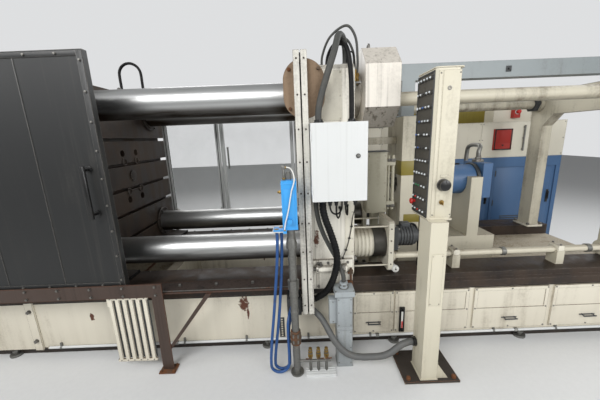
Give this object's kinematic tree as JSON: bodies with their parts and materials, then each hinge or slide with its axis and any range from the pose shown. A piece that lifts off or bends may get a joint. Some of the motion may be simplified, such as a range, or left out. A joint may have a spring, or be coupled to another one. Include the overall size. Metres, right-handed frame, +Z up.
{
  "type": "die casting machine",
  "caption": "Horizontal cold chamber die casting machine with platens on chromed tie bars, sliding guards, a shot end, a control stand and a power unit",
  "frame": {"origin": "on the floor, under the die face of the fixed platen, in the machine's middle plane", "axes": "+X runs along the machine to the shot end, +Y points away from the operator, +Z is up"},
  "size_m": [7.7, 2.505, 2.3974],
  "materials": {
    "cream_paint": "worn cream machine enamel with dirt and small chips",
    "greasy_steel": "dark steel under brown grease",
    "dark_steel": "dark grey steel, scuffed",
    "chrome_bar": "hard chrome with an oil film",
    "beam_paint": "light blue grey enamel",
    "cabinet_blue": "blue enamel, dusty",
    "white_paint": "white powder coat",
    "beige_grey": "grey beige enamel",
    "profile": "anodised extrusion",
    "clear_pane": "clear sheet with a film of dust",
    "brown_paint": "brown primer, greasy",
    "button_plate": "dark panel with small lamps",
    "galvanised": "galvanised pipe with rust at the unions",
    "red_paint": "red enamel",
    "black_rubber": "corrugated black hose",
    "grey_conduit": "grey jacketed conduit",
    "blue_hose": "blue air hose",
    "white_tube": "white air tube"
  },
  "bodies": {
    "machine": {"bed_front_side": "cream_paint", "bed_rear_side": "cream_paint", "bed_clamp_end": "cream_paint", "bed_shot_end": "cream_paint", "bed_ways": "greasy_steel", "drip_tray": "dark_steel", "bed_covers": "cream_paint", "fixed_platen": "cream_paint", "rear_platen": "cream_paint", "tie_bars_upper": "chrome_bar", "tie_bars_lower": "chrome_bar", "rear_nuts": "dark_steel", "upper_nuts": "cream_paint", "lower_nuts": "cream_paint", "clamp_cylinder": "cream_paint", "shot_sleeve": "dark_steel", "shot_frame": "cream_paint", "shot_cylinder": "dark_steel", "shot_plunger": "chrome_bar", "strut_rods": "cream_paint", "top_beam": "beam_paint", "valve_block": "beige_grey", "closing_posts": "white_paint", "tie_bar_shield": "brown_paint", "enclosure_box": "white_paint", "control_post": "cream_paint", "control_head": "cream_paint", "control_buttons": "button_plate", "cable_duct": "beam_paint", "pipe_post": "galvanised", "regulator_box": "cabinet_blue", "door_track": "brown_paint", "track_slats": "cream_paint", "door_guide": "dark_steel", "rear_guard": "profile", "rear_guard_pane": "clear_pane", "power_cabinet": "cabinet_blue", "unit_ties": "dark_steel", "guard_beam": "cream_paint", "trip_box": "red_paint", "junction_box": "dark_steel", "hose_black": "black_rubber", "hose_grey": "grey_conduit", "floor_conduit": "grey_conduit", "hose_blue_left": "blue_hose", "hose_blue_right": "blue_hose", "hose_top_black": "black_rubber", "hose_top_grey": "grey_conduit", "hose_white": "white_tube", "nut_drives": "dark_steel", "platen_cheeks": "cream_paint", "return_pipe": "cream_paint"},
    "clamping_platen": {"moving_platen": "greasy_steel", "platen_shoes": "dark_steel", "clamp_ram": "chrome_bar", "hose_platen": "black_rubber"},
    "operator_door": {"front_door": "dark_steel"},
    "back_door": {"rear_door": "profile", "rear_door_pane": "clear_pane"},
    "enclosure_lid": {"enclosure_door": "white_paint"}
  },
  "joints": [
    {"name": "platen_slide", "type": "slide", "parent": "machine", "child": "clamping_platen", "axis": [1, 0, 0], "range_m": [0, 0.8]},
    {"name": "front_door_slide", "type": "slide", "parent": "machine", "child": "operator_door", "axis": [1, 0, 0], "range_m": [0, 1.1]},
    {"name": "rear_door_slide", "type": "slide", "parent": "machine", "child": "back_door", "axis": [-1, 0, 0], "range_m": [0, 0.6]},
    {"name": "enclosure_door_hinge", "type": "hinge", "parent": "machine", "child": "enclosure_lid", "pos_m": [0.075, -0.905, 1.45], "axis": [0, 0, -1], "range_deg": [0, 110]}
  ]
}
